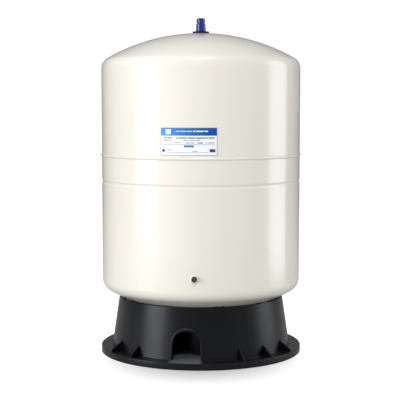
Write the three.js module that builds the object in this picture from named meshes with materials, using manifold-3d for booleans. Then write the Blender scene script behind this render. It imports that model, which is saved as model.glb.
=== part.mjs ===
// A diaphragm expansion vessel: a painted steel tank welded from two deep-drawn shells, standing on
// a moulded plastic stand. Water enters a lined chamber through the capped connection on top, and
// an air charge below the diaphragm pushes back; a tyre-type valve low on the front sets the charge.
// Units are millimetres. The origin is the centre of the stand's underside, +Z is up, and the front,
// with the pipe arch, the data label and the air valve, faces -Y.

import * as THREE from "three";
import { mergeVertices } from "three/addons/utils/BufferGeometryUtils.js";
import Module from "manifold-3d";

const wasm = await Module();
wasm.setup();

// ---- Driving dimensions ----

const GAP = 0.3; // left between pieces that touch
const FACET_SLACK = 0.1; // more clearance between two curved walls, whose facets may not line up
const LAP = 1; // how far a moulded detail reaches into the body it grows from
const FACETS = { tank: 40, fitting: 20, small: 12, section: 8 };

const TANK = {
  radius: 205,
  top: 658.5,
  bottom: 80,
  wall: 1.5,
  crown: 390, // radius of each dished end's crown
  knuckle: 25, // radius that blends a crown into the straight side
};

const SEAM = { height: 409.5, beadTall: 5.6, beadProud: 2 };
const GROOVE = { height: 355.6, mouth: 8, floor: 3.2, depth: 1.8 };
const LINER = { wall: 1.5, bottom: 362 };
const DIAPHRAGM = { wall: 2.5, drop: 12, clear: 0.5, bead: 6, beadBottom: 348, beadTop: 361 };
const CLENCH = { wall: 1.9, bottom: 348, top: 364 };
const LABEL = { bottom: 416.5, tall: 53, wide: 110, thick: 0.4, bearing: 2.4 };

// Heights in PORT are counted up from the crown of the tank.
const PORT = {
  bore: 4.8,
  thread: 8,
  threadTop: 16.5,
  chamfer: 0.8,
  flange: 18,
  flangeTop: -6.8,
  flangeThick: 3.2,
};
const PORT_SEAL = { radius: 12, section: 1.3, height: -5.2 };
const WASHER = { radius: 17.25, thick: 3 };
const CAP = {
  base: 10.5,
  shoulder: 9.7,
  waist: 8.4,
  knob: 8.7,
  tall: 27,
  waistAt: 16.8, // height of the waist's middle
  waistTall: 1.2,
  waistSlope: 1,
  rounding: 3,
  boreTall: 13.6,
};

// Heights in VALVE are counted outwards from the side of the tank.
const VALVE = { height: 178.5, bearing: 5.5 };
const BOSS = { radius: 7, inner: -14, outer: 2.6, bore: 4.6, seat: 5.4, seatFloor: 1.2 };
const STEM = { root: 4.3, rootInner: -13, rootOuter: 0.9, thread: 3.85, end: 9, bore: 2.6 };
const STEM_VENT = { radius: 1.2, tall: 2 };
const STEM_SEAL_SECTION = 0.4;
const CORE = { radius: 2.3, inner: -6, end: 8.2, springBore: 1.5, pinBore: 0.9, shoulder: -2 };
const PIN = { radius: 0.5, inner: -9.5, end: 8.6, head: 1, headTall: 0.7, collar: 1.2 };
const PIN_COLLAR = { low: 6.2, high: 6.8 };
const CORE_SPRING = { radius: 1, wire: 0.16, turns: 5, stepsPerTurn: 8, wireFacets: 5 };
const VALVE_CAP = { radius: 5, bore: 4.15, tall: 8.4, boreTall: 6.7, nose: 0.8 };

const STAND = {
  flange: 208,
  flangeTop: 13.5,
  floorThick: 4,
  foot: 8,
  skirtBottom: 185,
  skirtTop: 170,
  wall: 4,
  rimClear: 1.8, // from the top of the skirt to the dished end above it
  edge: 1, // bevel of the flange
};
const COLUMN = { base: 84, top: 80, height: 73.7, wall: 4, hole: 56, foot: 6 };
const ARCH = { springHalf: 27, bottomHalf: 29, top: 70, corner: 24, rimWide: 5.5, rimProud: 3.5 };
// Bearings from an arch, in degrees: three gussets stand on one side of it and two on the other.
const GUSSET = { first: 33.4, pitch: 18.75, right: 3, left: 2, tall: 21, thick: 3, crest: 1, nose: 4.5 };
const FLOOR_RIB = { count: 12, thick: 3, clear: 1.5 };
const PAD = { count: 10, wide: 21, bearing: 3.5 };
const SUPPORT = { radius: 80, wall: 2.5, flangeInner: 57, flangeThick: 2.5 };
const SCREW = {
  count: 4,
  circle: 66,
  shank: 2,
  hole: 2.4,
  head: 4.8,
  headFace: 3.4,
  headTall: 3,
  headRim: 1,
  tip: 82,
};

// ---- Materials ----

function material(color, roughness, metalness) {
  return new THREE.MeshStandardMaterial({ color, roughness, metalness });
}

const creamPaint = material("#ece8dd", 0.28, 0);
const linerPlastic = material("#d9dcd6", 0.5, 0);
const butylRubber = material("#1c1c1e", 0.75, 0);
const sealRubber = material("#141416", 0.6, 0);
const zincSteel = material("#a9adb0", 0.4, 1);
const stainless = material("#c4c6c8", 0.3, 1);
const springSteel = material("#8f9296", 0.35, 1);
const brass = material("#b8923f", 0.32, 1);
const standPlastic = material("#1b1b1e", 0.42, 0);
const bluePlastic = material("#10358e", 0.38, 0);
const valveCapPlastic = material("#17171a", 0.5, 0);
const labelFilm = material("#e9edf1", 0.35, 0);

// ---- Geometry helpers ----

// Revolves an outline about +Z. The outline is a list of [radius, height], counter-clockwise with
// the radius to the right, that starts and ends on the axis; a ring's is closed on itself here.
function revolve(outline, facets) {
  const points = outline.map(([radius, height]) => new THREE.Vector2(radius, height));
  if (points[0].x > 0) {
    points.push(points[0].clone());
  }
  return new THREE.LatheGeometry(points, facets).rotateX(Math.PI / 2);
}

// Extrudes a shape drawn in the X-Z plane from y = near towards -Y, as far as y = far.
function extrudeForward(shape, near, far, curveSegments = 8) {
  const geometry = new THREE.ExtrudeGeometry(shape, {
    depth: near - far,
    bevelEnabled: false,
    curveSegments,
  });
  return geometry.rotateX(Math.PI / 2).translate(0, near, 0);
}

function toSolid(geometry) {
  const bare = geometry.clone();
  bare.deleteAttribute("normal");
  bare.deleteAttribute("uv");
  const merged = mergeVertices(bare, 1e-3);
  return new wasm.Manifold(
    new wasm.Mesh({
      numProp: 3,
      vertProperties: merged.getAttribute("position").array,
      triVerts: new Uint32Array(merged.getIndex().array),
    }),
  );
}

function toGeometry(solid) {
  const mesh = solid.getMesh();
  const geometry = new THREE.BufferGeometry();
  geometry.setAttribute("position", new THREE.BufferAttribute(mesh.vertProperties, 3));
  geometry.setIndex(new THREE.BufferAttribute(mesh.triVerts, 1));
  return geometry;
}

function joinAll(solids) {
  return solids.reduce((whole, solid) => whole.add(solid));
}

// Copies of a geometry, spaced evenly round +Z from the bearing `first`, in degrees.
function roundCopies(geometry, count, first = 0) {
  return Array.from({ length: count }, (_, i) => {
    const bearing = THREE.MathUtils.degToRad(first + (360 * i) / count);
    return geometry.clone().rotateZ(bearing);
  });
}

function circularHole(radius, low, high, x, facets) {
  const hole = new THREE.CylinderGeometry(radius, radius, high - low, facets);
  return hole.rotateX(Math.PI / 2).translate(x, 0, (low + high) / 2);
}

function addPiece(parent, name, geometry, pieceMaterial) {
  const mesh = new THREE.Mesh(geometry, pieceMaterial);
  mesh.name = name;
  parent.add(mesh);
}

// ---- The dished ends ----

// The angle from the axis, seen from the crown's centre, at which the crown meets the knuckle.
const BLEND = Math.asin((TANK.radius - TANK.knuckle) / (TANK.crown - TANK.knuckle));
// How far the straight side's end lies below the crown's highest point.
const DISH_DEPTH = TANK.crown - (TANK.crown - TANK.knuckle) * Math.cos(BLEND);

// A dished end from the straight side to the crown, as [radius, depth below the outer crown]. It
// lies `inset` inside the tank's outer surface, and stops at the radius `hole` or at the axis.
function dishedEnd(inset, hole = 0) {
  const crownRadius = TANK.crown - inset;
  const knuckleRadius = TANK.knuckle - inset;
  const points = [];
  const knuckleSteps = 3;
  for (let i = 0; i < knuckleSteps; i++) {
    const angle = THREE.MathUtils.lerp(Math.PI / 2, BLEND, i / knuckleSteps);
    points.push([
      TANK.radius - TANK.knuckle + knuckleRadius * Math.sin(angle),
      DISH_DEPTH - knuckleRadius * Math.cos(angle),
    ]);
  }
  const crownSteps = 5;
  const last = Math.asin(hole / crownRadius);
  for (let i = 0; i <= crownSteps; i++) {
    const angle = THREE.MathUtils.lerp(BLEND, last, i / crownSteps);
    points.push([crownRadius * Math.sin(angle), TANK.crown - crownRadius * Math.cos(angle)]);
  }
  return points;
}

function topDish(inset, hole) {
  return dishedEnd(inset, hole).map(([radius, depth]) => [radius, TANK.top - depth]);
}

// The height of the lower dished end's outer surface at a radius within its crown.
function undersideAt(radius) {
  return TANK.bottom + TANK.crown - Math.sqrt(TANK.crown ** 2 - radius ** 2);
}

// A wall that hangs from the top dished end down to `bottom`.
function hangingWall(inset, thick, hole, bottom) {
  const outer = topDish(inset, hole);
  const inner = topDish(inset + thick, hole).reverse();
  const side = TANK.radius - inset;
  return [...inner, [side - thick, bottom], [side, bottom], ...outer];
}

// ---- The tank ----

function upperShell() {
  const hole = PORT.thread + GAP;
  return revolve(hangingWall(0, TANK.wall, hole, SEAM.height + GAP), FACETS.tank);
}

// The rolled groove in the straight side, from its top down, `inset` inside the outer surface.
function groove(inset) {
  const { height, mouth, floor, depth } = GROOVE;
  const side = TANK.radius - inset;
  return [
    [side, height + mouth / 2],
    [side - depth, height + floor / 2],
    [side - depth, height - floor / 2],
    [side, height - mouth / 2],
  ];
}

function bottomDish(inset) {
  return dishedEnd(inset).map(([radius, depth]) => [radius, TANK.bottom + depth]);
}

function lowerShell() {
  const top = SEAM.height - GAP;
  const outline = [
    ...bottomDish(0).reverse(),
    ...groove(0).reverse(),
    [TANK.radius, top],
    [TANK.radius - TANK.wall, top],
    ...groove(TANK.wall),
    ...bottomDish(TANK.wall),
  ];
  const bossHole = new THREE.CylinderGeometry(
    BOSS.radius + GAP,
    BOSS.radius + GAP,
    4 * BOSS.radius,
    FACETS.fitting,
  );
  bossHole.translate(0, -TANK.radius, 0);
  bossHole.rotateZ(THREE.MathUtils.degToRad(VALVE.bearing));
  bossHole.translate(0, 0, VALVE.height);
  return toGeometry(toSolid(revolve(outline, FACETS.tank)).subtract(toSolid(bossHole)));
}

function girthWeldBead() {
  const inner = TANK.radius + GAP;
  const { height, beadTall, beadProud } = SEAM;
  const outline = [
    [inner, height - beadTall / 2],
    [TANK.radius + beadProud, height - beadTall / 4],
    [TANK.radius + beadProud, height + beadTall / 4],
    [inner, height + beadTall / 2],
  ];
  return revolve(outline, FACETS.tank);
}

function dataLabel() {
  const inner = TANK.radius + GAP + FACET_SLACK;
  const middle = THREE.MathUtils.degToRad(LABEL.bearing - 90);
  const half = LABEL.wide / 2 / TANK.radius;
  const shape = new THREE.Shape();
  shape.absarc(0, 0, inner + LABEL.thick, middle - half, middle + half, false);
  shape.absarc(0, 0, inner, middle + half, middle - half, true);
  const settings = { depth: LABEL.tall, bevelEnabled: false, curveSegments: 12 };
  return new THREE.ExtrudeGeometry(shape, settings).translate(0, 0, LABEL.bottom);
}

// ---- The water side ----

const LINER_INSET = TANK.wall + GAP + FACET_SLACK;
const DIAPHRAGM_INSET = LINER_INSET + LINER.wall + DIAPHRAGM.clear;

function waterLiner() {
  const hole = PORT.thread + GAP;
  return revolve(hangingWall(LINER_INSET, LINER.wall, hole, LINER.bottom), FACETS.tank);
}

// A cup with a thick bead round its mouth, resting in the shape it has when the vessel is empty.
function diaphragm() {
  const lower = ([radius, height]) => [radius, height - DIAPHRAGM.drop];
  const outer = topDish(DIAPHRAGM_INSET).map(lower);
  const inner = topDish(DIAPHRAGM_INSET + DIAPHRAGM.wall).map(lower);
  const side = TANK.radius - DIAPHRAGM_INSET;
  const outline = [
    ...inner.reverse(),
    [side - DIAPHRAGM.wall, DIAPHRAGM.beadTop],
    [side - DIAPHRAGM.bead, DIAPHRAGM.beadTop - DIAPHRAGM.wall],
    [side - DIAPHRAGM.bead, DIAPHRAGM.beadBottom],
    [side, DIAPHRAGM.beadBottom],
    ...outer,
  ];
  return revolve(outline, FACETS.tank);
}

function clenchRing() {
  const outer = TANK.radius - DIAPHRAGM_INSET - DIAPHRAGM.bead - GAP;
  const inner = outer - CLENCH.wall;
  const { bottom, top } = CLENCH;
  return revolve([[inner, bottom], [outer, bottom], [outer, top], [inner, top]], FACETS.tank);
}

function waterNipple() {
  const { bore, thread, threadTop, chamfer, flange, flangeTop, flangeThick } = PORT;
  const bottom = flangeTop - flangeThick;
  const outline = [
    [bore, bottom],
    [flange, bottom],
    [flange, flangeTop],
    [thread, flangeTop],
    [thread, threadTop - chamfer],
    [thread - chamfer, threadTop],
    [bore, threadTop],
  ];
  return revolve(outline, FACETS.fitting);
}

// A ring of round section about +Z.
function sealRing({ radius, section, height }, facets) {
  return new THREE.TorusGeometry(radius, section, FACETS.section, facets).translate(0, 0, height);
}

function nippleWasher() {
  const hole = PORT.thread + GAP;
  const { radius, thick } = WASHER;
  return revolve([[hole, 0], [radius, 0], [radius, thick], [hole, thick]], FACETS.fitting);
}

// A screw cap with a narrow waist below a rounded grip.
function nippleCap() {
  const bore = PORT.thread + GAP + FACET_SLACK;
  const { base, shoulder, waist, knob, tall, waistSlope, rounding, boreTall } = CAP;
  const waistLow = CAP.waistAt - CAP.waistTall / 2;
  const waistHigh = CAP.waistAt + CAP.waistTall / 2;
  const outline = [
    [0, boreTall],
    [bore, boreTall],
    [bore, 0],
    [base, 0],
    [shoulder, waistLow - waistSlope],
    [waist, waistLow],
    [waist, waistHigh],
    [knob, waistHigh + waistSlope],
  ];
  const steps = 3;
  for (let i = 0; i <= steps; i++) {
    const angle = (i / steps) * (Math.PI / 2);
    outline.push([
      knob - rounding * (1 - Math.cos(angle)),
      tall - rounding * (1 - Math.sin(angle)),
    ]);
  }
  outline.push([0, tall]);
  return revolve(outline, FACETS.fitting);
}

// ---- The air valve, drawn about an axis that points out of the tank ----

function valveBoss() {
  const { radius, inner, outer, bore, seat, seatFloor } = BOSS;
  const outline = [
    [bore, inner],
    [radius, inner],
    [radius, outer],
    [seat, outer],
    [seat, seatFloor],
    [bore, seatFloor],
  ];
  return revolve(outline, FACETS.fitting);
}

function valveStem() {
  const { root, rootInner, rootOuter, thread, end, bore } = STEM;
  const boreInner = rootInner + STEM_VENT.tall;
  const outline = [
    [STEM_VENT.radius, rootInner],
    [root, rootInner],
    [root, rootOuter],
    [thread, rootOuter],
    [thread, end],
    [bore, end],
    [bore, boreInner],
    [STEM_VENT.radius, boreInner],
  ];
  return revolve(outline, FACETS.fitting);
}

function valveSeal() {
  const section = STEM_SEAL_SECTION;
  const radius = (STEM.thread + BOSS.seat) / 2;
  return sealRing({ radius, section, height: BOSS.seatFloor + GAP + section }, FACETS.fitting);
}

function valveCap() {
  const { radius, bore, tall, boreTall, nose } = VALVE_CAP;
  const outline = [
    [0, boreTall],
    [bore, boreTall],
    [bore, 0],
    [radius, 0],
    [radius, tall - nose],
    [radius - nose, tall],
    [0, tall],
  ];
  return revolve(outline, FACETS.fitting);
}

function coreBody() {
  const { radius, inner, end, springBore, pinBore, shoulder } = CORE;
  const outline = [
    [pinBore, inner],
    [radius, inner],
    [radius, end],
    [springBore, end],
    [springBore, shoulder],
    [pinBore, shoulder],
  ];
  return revolve(outline, FACETS.small);
}

function corePin() {
  const { radius, inner, end, head, headTall, collar } = PIN;
  const outline = [
    [0, inner],
    [head, inner],
    [head, inner + headTall],
    [radius, inner + headTall],
    [radius, PIN_COLLAR.low],
    [collar, PIN_COLLAR.low],
    [collar, PIN_COLLAR.high],
    [radius, PIN_COLLAR.high],
    [radius, end],
    [0, end],
  ];
  return revolve(outline, FACETS.small);
}

// The cup washer that the pin pulls against the inner mouth of the core's body.
function coreSeal() {
  const low = PIN.inner + PIN.headTall + GAP;
  const high = CORE.inner - GAP;
  const inner = PIN.radius + GAP;
  const outer = CORE.radius - GAP;
  return revolve([[inner, low], [outer, low], [outer, high], [inner, high]], FACETS.small);
}

class Helix extends THREE.Curve {
  constructor(radius, low, high, turns) {
    super();
    Object.assign(this, { radius, low, high, turns });
  }

  getPoint(t, target = new THREE.Vector3()) {
    const angle = t * this.turns * 2 * Math.PI;
    return target.set(
      this.radius * Math.cos(angle),
      this.radius * Math.sin(angle),
      THREE.MathUtils.lerp(this.low, this.high, t),
    );
  }
}

function coreSpring() {
  const { radius, wire, turns, stepsPerTurn, wireFacets } = CORE_SPRING;
  const low = CORE.shoulder + GAP + wire;
  const high = PIN_COLLAR.low - GAP - wire;
  const section = new THREE.Shape().absarc(0, 0, wire, 0, 2 * Math.PI, false);
  return new THREE.ExtrudeGeometry(section, {
    steps: turns * stepsPerTurn,
    curveSegments: wireFacets,
    extrudePath: new Helix(radius, low, high, turns),
  });
}

// ---- The stand ----

const RIM_OUTER = undersideAt(STAND.skirtTop) - STAND.rimClear;
const RIM_INNER = undersideAt(STAND.skirtTop - STAND.wall) - STAND.rimClear;
const FLOOR_BOTTOM = STAND.flangeTop - STAND.floorThick;

// The skirt's outer radius at a height.
function skirtRadius(height) {
  const share = (height - STAND.flangeTop) / (RIM_OUTER - STAND.flangeTop);
  return THREE.MathUtils.lerp(STAND.skirtBottom, STAND.skirtTop, share);
}

function standBody() {
  const { flange, flangeTop, foot, skirtBottom, skirtTop, wall, edge } = STAND;
  const column = COLUMN;
  const outline = [
    [flange - foot, 0],
    [flange, 0],
    [flange, flangeTop - edge],
    [flange - edge, flangeTop],
    [skirtBottom, flangeTop],
    [skirtTop, RIM_OUTER],
    [skirtTop - wall, RIM_INNER],
    [skirtBottom - wall, flangeTop],
    [column.base, flangeTop],
    [column.top, column.height],
    [column.hole, column.height],
    [column.hole, column.height - column.wall],
    [column.top - column.wall, column.height - column.wall],
    [column.base - column.wall, 0],
    [column.base - column.wall + column.foot, 0],
    [column.base - column.wall + column.foot, FLOOR_BOTTOM],
    [flange - foot, FLOOR_BOTTOM],
  ];
  return toSolid(revolve(outline, FACETS.tank));
}

// The arch's outline in the X-Z plane, grown by `grow` on its sides and top.
function archShape(grow) {
  const spring = ARCH.top - ARCH.corner;
  const arcRadius = ARCH.corner + grow;
  const arcCentre = ARCH.springHalf - ARCH.corner;
  const shape = new THREE.Shape();
  shape.moveTo(-ARCH.bottomHalf - grow, STAND.flangeTop);
  shape.lineTo(ARCH.bottomHalf + grow, STAND.flangeTop);
  shape.absarc(arcCentre, spring, arcRadius, 0, Math.PI / 2, false);
  shape.absarc(-arcCentre, spring, arcRadius, Math.PI / 2, Math.PI, false);
  return shape;
}

// The arch as a solid that runs from between the column and the skirt to beyond the flange.
function archPrism(grow) {
  const near = -(COLUMN.base + STAND.flange) / 2;
  return toSolid(extrudeForward(archShape(grow), near, -STAND.flange - LAP));
}

// The raised rim round an arch, standing proud of the skirt.
function archRim() {
  const { rimProud, rimWide } = ARCH;
  const bottom = STAND.flangeTop - LAP;
  const inset = STAND.wall / 2;
  const top = ARCH.top + 2 * rimWide;
  const band = [
    [skirtRadius(bottom) - inset, bottom],
    [skirtRadius(bottom) + rimProud, bottom],
    [skirtRadius(top) + rimProud, top],
    [skirtRadius(top) - inset, top],
  ];
  const collar = toSolid(revolve(band, FACETS.tank));
  return archPrism(rimWide).intersect(collar).subtract(archPrism(0));
}

// A triangular rib from the skirt down to the edge of the flange, along +X.
function gusset() {
  const low = STAND.flangeTop - LAP;
  const high = STAND.flangeTop + GUSSET.tall;
  const root = skirtRadius(high) - LAP;
  const tip = STAND.flange - STAND.edge;
  const shape = new THREE.Shape([
    new THREE.Vector2(root, low),
    new THREE.Vector2(tip, low),
    new THREE.Vector2(tip, STAND.flangeTop + GUSSET.nose),
    new THREE.Vector2(skirtRadius(high) + GUSSET.crest, high),
    new THREE.Vector2(root, high),
  ]);
  return extrudeForward(shape, GUSSET.thick / 2, -GUSSET.thick / 2);
}

function gussets() {
  const bearings = [];
  for (let i = 0; i < GUSSET.right; i++) {
    bearings.push(GUSSET.first + i * GUSSET.pitch);
  }
  for (let i = 0; i < GUSSET.left; i++) {
    bearings.push(-GUSSET.first - i * GUSSET.pitch);
  }
  const front = -90; // the front arch's bearing from +X
  const rear = 90;
  return [front, rear].flatMap((arch) =>
    bearings.map((bearing) => {
      const angle = THREE.MathUtils.degToRad(arch + bearing);
      return toSolid(gusset().rotateZ(angle));
    }),
  );
}

function floorRibs() {
  const inner = COLUMN.base - LAP;
  const outer = STAND.flange - STAND.foot + LAP;
  const tall = FLOOR_BOTTOM - FLOOR_RIB.clear + LAP;
  const rib = new THREE.BoxGeometry(outer - inner, FLOOR_RIB.thick, tall);
  rib.translate((inner + outer) / 2, 0, FLOOR_RIB.clear + tall / 2);
  return roundCopies(rib, FLOOR_RIB.count, 180 / FLOOR_RIB.count).map(toSolid);
}

// The pads on top of the skirt that the tank sits on.
function pads() {
  const { skirtTop, wall, rimClear } = STAND;
  const rise = rimClear - GAP;
  const band = [
    [skirtTop - wall, RIM_INNER - LAP],
    [skirtTop, RIM_OUTER - LAP],
    [skirtTop, RIM_OUTER + rise],
    [skirtTop - wall, RIM_INNER + rise],
  ];
  const ring = toSolid(revolve(band, FACETS.tank));
  const block = new THREE.BoxGeometry(PAD.wide, 4 * wall, 8 * rimClear);
  block.translate(0, -skirtTop, RIM_OUTER);
  const blocks = roundCopies(block, PAD.count, 180 / PAD.count + PAD.bearing).map(toSolid);
  return ring.intersect(joinAll(blocks));
}

function screwHoles(low, high) {
  const hole = circularHole(SCREW.hole, low, high, SCREW.circle, FACETS.small);
  return joinAll(roundCopies(hole, SCREW.count, 180 / SCREW.count).map(toSolid));
}

function baseStand() {
  const frontArch = archPrism(0);
  const turn = [0, 0, 180];
  const body = standBody().subtract(frontArch).subtract(frontArch.rotate(turn));
  const rim = archRim();
  const additions = [rim, rim.rotate(turn), ...gussets(), ...floorRibs(), pads()];
  const holes = screwHoles(COLUMN.height - 2 * COLUMN.wall, COLUMN.height + LAP);
  return toGeometry(joinAll([body, ...additions]).subtract(holes));
}

// A rolled ring welded under the tank, turned in at the bottom to take the stand's screws.
function supportRing() {
  const { radius, wall, flangeInner, flangeThick } = SUPPORT;
  const bottom = COLUMN.height + GAP;
  const outline = [
    [flangeInner, bottom],
    [radius, bottom],
    [radius, undersideAt(radius) - GAP],
    [radius - wall, undersideAt(radius - wall) - GAP],
    [radius - wall, bottom + flangeThick],
    [flangeInner, bottom + flangeThick],
  ];
  const ring = toSolid(revolve(outline, FACETS.tank));
  return toGeometry(ring.subtract(screwHoles(bottom - LAP, bottom + flangeThick + LAP)));
}

// One of the screws that run up through the stand's column into the support ring.
function baseScrew() {
  const { shank, head, headFace, headTall, headRim, tip } = SCREW;
  const seat = COLUMN.height - COLUMN.wall - GAP;
  const outline = [
    [0, seat - headTall],
    [headFace, seat - headTall],
    [head, seat - headRim],
    [head, seat],
    [shank, seat],
    [shank, tip - shank],
    [0, tip],
  ];
  return revolve(outline, FACETS.small);
}

// ---- Assembly ----

function addTank(vessel) {
  const tank = new THREE.Group();
  vessel.add(tank);
  addPiece(tank, "upper_shell", upperShell(), creamPaint);
  addPiece(tank, "lower_shell", lowerShell(), creamPaint);
  addPiece(tank, "girth_weld_bead", girthWeldBead(), creamPaint);
  addPiece(tank, "data_label", dataLabel(), labelFilm);
  addPiece(tank, "water_liner", waterLiner(), linerPlastic);
  addPiece(tank, "diaphragm", diaphragm(), butylRubber);
  addPiece(tank, "clench_ring", clenchRing(), zincSteel);
}

function addWaterPort(vessel) {
  const port = new THREE.Group();
  port.position.z = TANK.top;
  vessel.add(port);
  addPiece(port, "water_nipple", waterNipple(), stainless);
  addPiece(port, "nipple_seal", sealRing(PORT_SEAL, FACETS.fitting), sealRubber);

  const aboveTank = new THREE.Group();
  aboveTank.position.z = GAP;
  port.add(aboveTank);
  addPiece(aboveTank, "nipple_washer", nippleWasher(), sealRubber);

  const aboveWasher = new THREE.Group();
  aboveWasher.position.z = WASHER.thick + GAP;
  aboveTank.add(aboveWasher);
  addPiece(aboveWasher, "nipple_cap", nippleCap(), bluePlastic);
}

function addAirValve(vessel) {
  const bearing = THREE.MathUtils.degToRad(VALVE.bearing);
  const valve = new THREE.Group();
  valve.position.set(
    TANK.radius * Math.sin(bearing),
    -TANK.radius * Math.cos(bearing),
    VALVE.height,
  );
  valve.rotation.set(Math.PI / 2, 0, bearing, "ZXY");
  vessel.add(valve);
  addPiece(valve, "air_valve_boss", valveBoss(), creamPaint);
  addPiece(valve, "air_valve_seal", valveSeal(), sealRubber);
  addPiece(valve, "air_valve_stem", valveStem(), brass);
  addPiece(valve, "valve_core_body", coreBody(), brass);
  addPiece(valve, "valve_core_pin", corePin(), brass);
  addPiece(valve, "valve_core_seal", coreSeal(), sealRubber);
  addPiece(valve, "valve_core_spring", coreSpring(), springSteel);

  const onBoss = new THREE.Group();
  onBoss.position.z = BOSS.outer + GAP;
  valve.add(onBoss);
  addPiece(onBoss, "air_valve_cap", valveCap(), valveCapPlastic);
}

function addStand(vessel) {
  const stand = new THREE.Group();
  vessel.add(stand);
  addPiece(stand, "base_stand", baseStand(), standPlastic);
  addPiece(stand, "base_support_ring", supportRing(), creamPaint);

  for (let i = 0; i < SCREW.count; i++) {
    const turned = new THREE.Group();
    turned.rotation.z = ((i + 0.5) / SCREW.count) * 2 * Math.PI;
    stand.add(turned);

    const onCircle = new THREE.Group();
    onCircle.position.x = SCREW.circle;
    turned.add(onCircle);
    addPiece(onCircle, `base_screw_${i + 1}`, baseScrew(), zincSteel);
  }
}

const vessel = new THREE.Group();
addTank(vessel);
addWaterPort(vessel);
addAirValve(vessel);
addStand(vessel);

export default vessel;
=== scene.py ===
"""Looks for a diaphragm expansion vessel: a painted steel tank on a moulded plastic stand.

Every piece is built in metres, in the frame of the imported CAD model, with +Z up and the front (the
pipe arch, the label and the air valve) facing -Y. Sizes below are in millimetres unless they say so.
"""

import math

import bmesh
import bpy
from mathutils import Matrix, Vector

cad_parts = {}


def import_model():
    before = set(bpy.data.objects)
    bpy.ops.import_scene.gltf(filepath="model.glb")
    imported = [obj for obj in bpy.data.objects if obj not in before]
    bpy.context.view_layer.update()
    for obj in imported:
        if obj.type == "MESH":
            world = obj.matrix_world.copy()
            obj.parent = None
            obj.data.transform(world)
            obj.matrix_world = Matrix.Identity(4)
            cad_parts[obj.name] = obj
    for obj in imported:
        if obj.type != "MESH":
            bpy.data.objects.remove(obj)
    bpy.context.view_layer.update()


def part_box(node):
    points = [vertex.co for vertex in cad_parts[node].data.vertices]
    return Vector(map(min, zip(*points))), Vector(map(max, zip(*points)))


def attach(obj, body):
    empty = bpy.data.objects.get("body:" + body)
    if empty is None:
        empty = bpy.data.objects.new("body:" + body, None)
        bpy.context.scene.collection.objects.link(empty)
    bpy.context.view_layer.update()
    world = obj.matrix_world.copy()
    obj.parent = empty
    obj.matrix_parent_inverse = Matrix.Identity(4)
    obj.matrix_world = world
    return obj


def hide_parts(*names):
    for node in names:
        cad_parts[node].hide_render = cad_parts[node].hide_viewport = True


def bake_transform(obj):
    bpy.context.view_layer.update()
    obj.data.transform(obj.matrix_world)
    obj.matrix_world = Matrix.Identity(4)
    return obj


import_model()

MM = 0.001

# ---- Sizes read from the frame ----

TANK_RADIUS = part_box("upper_shell")[1].x / MM
TANK_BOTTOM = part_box("lower_shell")[0].z / MM
SEAM = sum(corner.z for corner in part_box("girth_weld_bead")) / 2 / MM
LABEL_LOW, LABEL_HIGH = (corner.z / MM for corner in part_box("data_label"))
WASHER_LOW, WASHER_HIGH = (corner.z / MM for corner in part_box("nipple_washer"))
CAP_LOW, CAP_HIGH = (corner.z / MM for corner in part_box("nipple_cap"))
NIPPLE_LOW, NIPPLE_HIGH = (corner.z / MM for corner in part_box("water_nipple"))
STAND_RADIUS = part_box("base_stand")[1].x / MM
SCREW_LOW, SCREW_HIGH = (corner.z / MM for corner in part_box("base_screw_1"))
VALVE_CENTRE = sum(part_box("air_valve_cap"), Vector()) / 2
VALVE_BEARING = math.atan2(VALVE_CENTRE.x, -VALVE_CENTRE.y)
SCREW_CENTRES = [
    sum(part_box(f"base_screw_{i}"), Vector()) / 2 / MM for i in range(1, 5)
]

# ---- Driving dimensions ----

GAP = 0.3  # clearance between pieces that touch in the real vessel
TANK_WALL = 1.5
TANK_TOP = WASHER_LOW - GAP
CROWN = 390  # radius of a dished end
KNUCKLE = 25  # radius where it turns into the tank's side
BEAD_TALL = 6.4
BEAD_PROUD = 2
BEAD_WAVES = ((0.05, 150), (0.04, 7))  # height and count round the tank
GROOVE_HEIGHT = 355.6
GROOVE_MOUTH = 9
GROOVE_DEPTH = 1.8
GROOVE_POWER = 1.6  # a higher power gives a narrower hollow
BEAD_POWER = 1.15  # and a narrower bead
NIPPLE_HOLE = 8.6  # radius of the hole in the upper shell

LINER_INSET = 1.9
LINER_WALL = 1.5
LINER_BOTTOM = 362
DIAPHRAGM_INSET = 3.9
DIAPHRAGM_WALL = 2.5
DIAPHRAGM_DROP = 12
DIAPHRAGM_BEAD = 6
CLAMP_LOW = 348
CLAMP_HIGH = 361

LABEL_WIDE = 110
LABEL_BEARING = 2.4  # degrees from the front towards +X
FILM_LIFT = 0.25  # from the tank's side to the label's film
FILM_THICK = 0.2
INK_LIFT = 0.43
INK_THICK = 0.05

SKIRT_LOW_RADIUS = 185
SKIRT_HIGH_RADIUS = 170
STAND_WALL = 4
FLANGE_TOP = 13.5
FLOOR_THICK = 4
FOOT = 8
RIM_CLEAR = 2.6
COLUMN_BASE = 84
COLUMN_TOP = 80
COLUMN_HEIGHT = 73.7
COLUMN_HOLE = 56
ARCH_TOP = 70
ARCH_CORNER = 24
ARCH_SPRING_HALF = 27
ARCH_BOTTOM_HALF = 29
ARCH_RIM_WIDE = 5.5
ARCH_RIM_PROUD = 3.5
GUSSET_BEARINGS = (33.4, 52.15, 70.9, -33.4, -52.15)  # degrees from an arch
GUSSET_TALL = 21
GUSSET_THICK = 3
GUSSET_NOSE = 4.5
PADS = 10
PAD_WIDE = 21
PAD_BEARING = 3.5
FLOOR_RIBS = 12

CAMERA_BEARING = 9  # degrees round from the front
CAMERA_DISTANCE = 2.45  # metres from the tank's axis
CAMERA_HEIGHT = 0.53
VIEW_WIDTH = 0.8345  # metres across the picture, at the tank's axis
VIEW_MIDDLE = 0.3135  # height at the picture's middle, there too
VIEW_ASIDE = 0.0018  # how far the picture's middle lies to the left of the axis, in metres
SENSOR = 36  # millimetres

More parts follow.
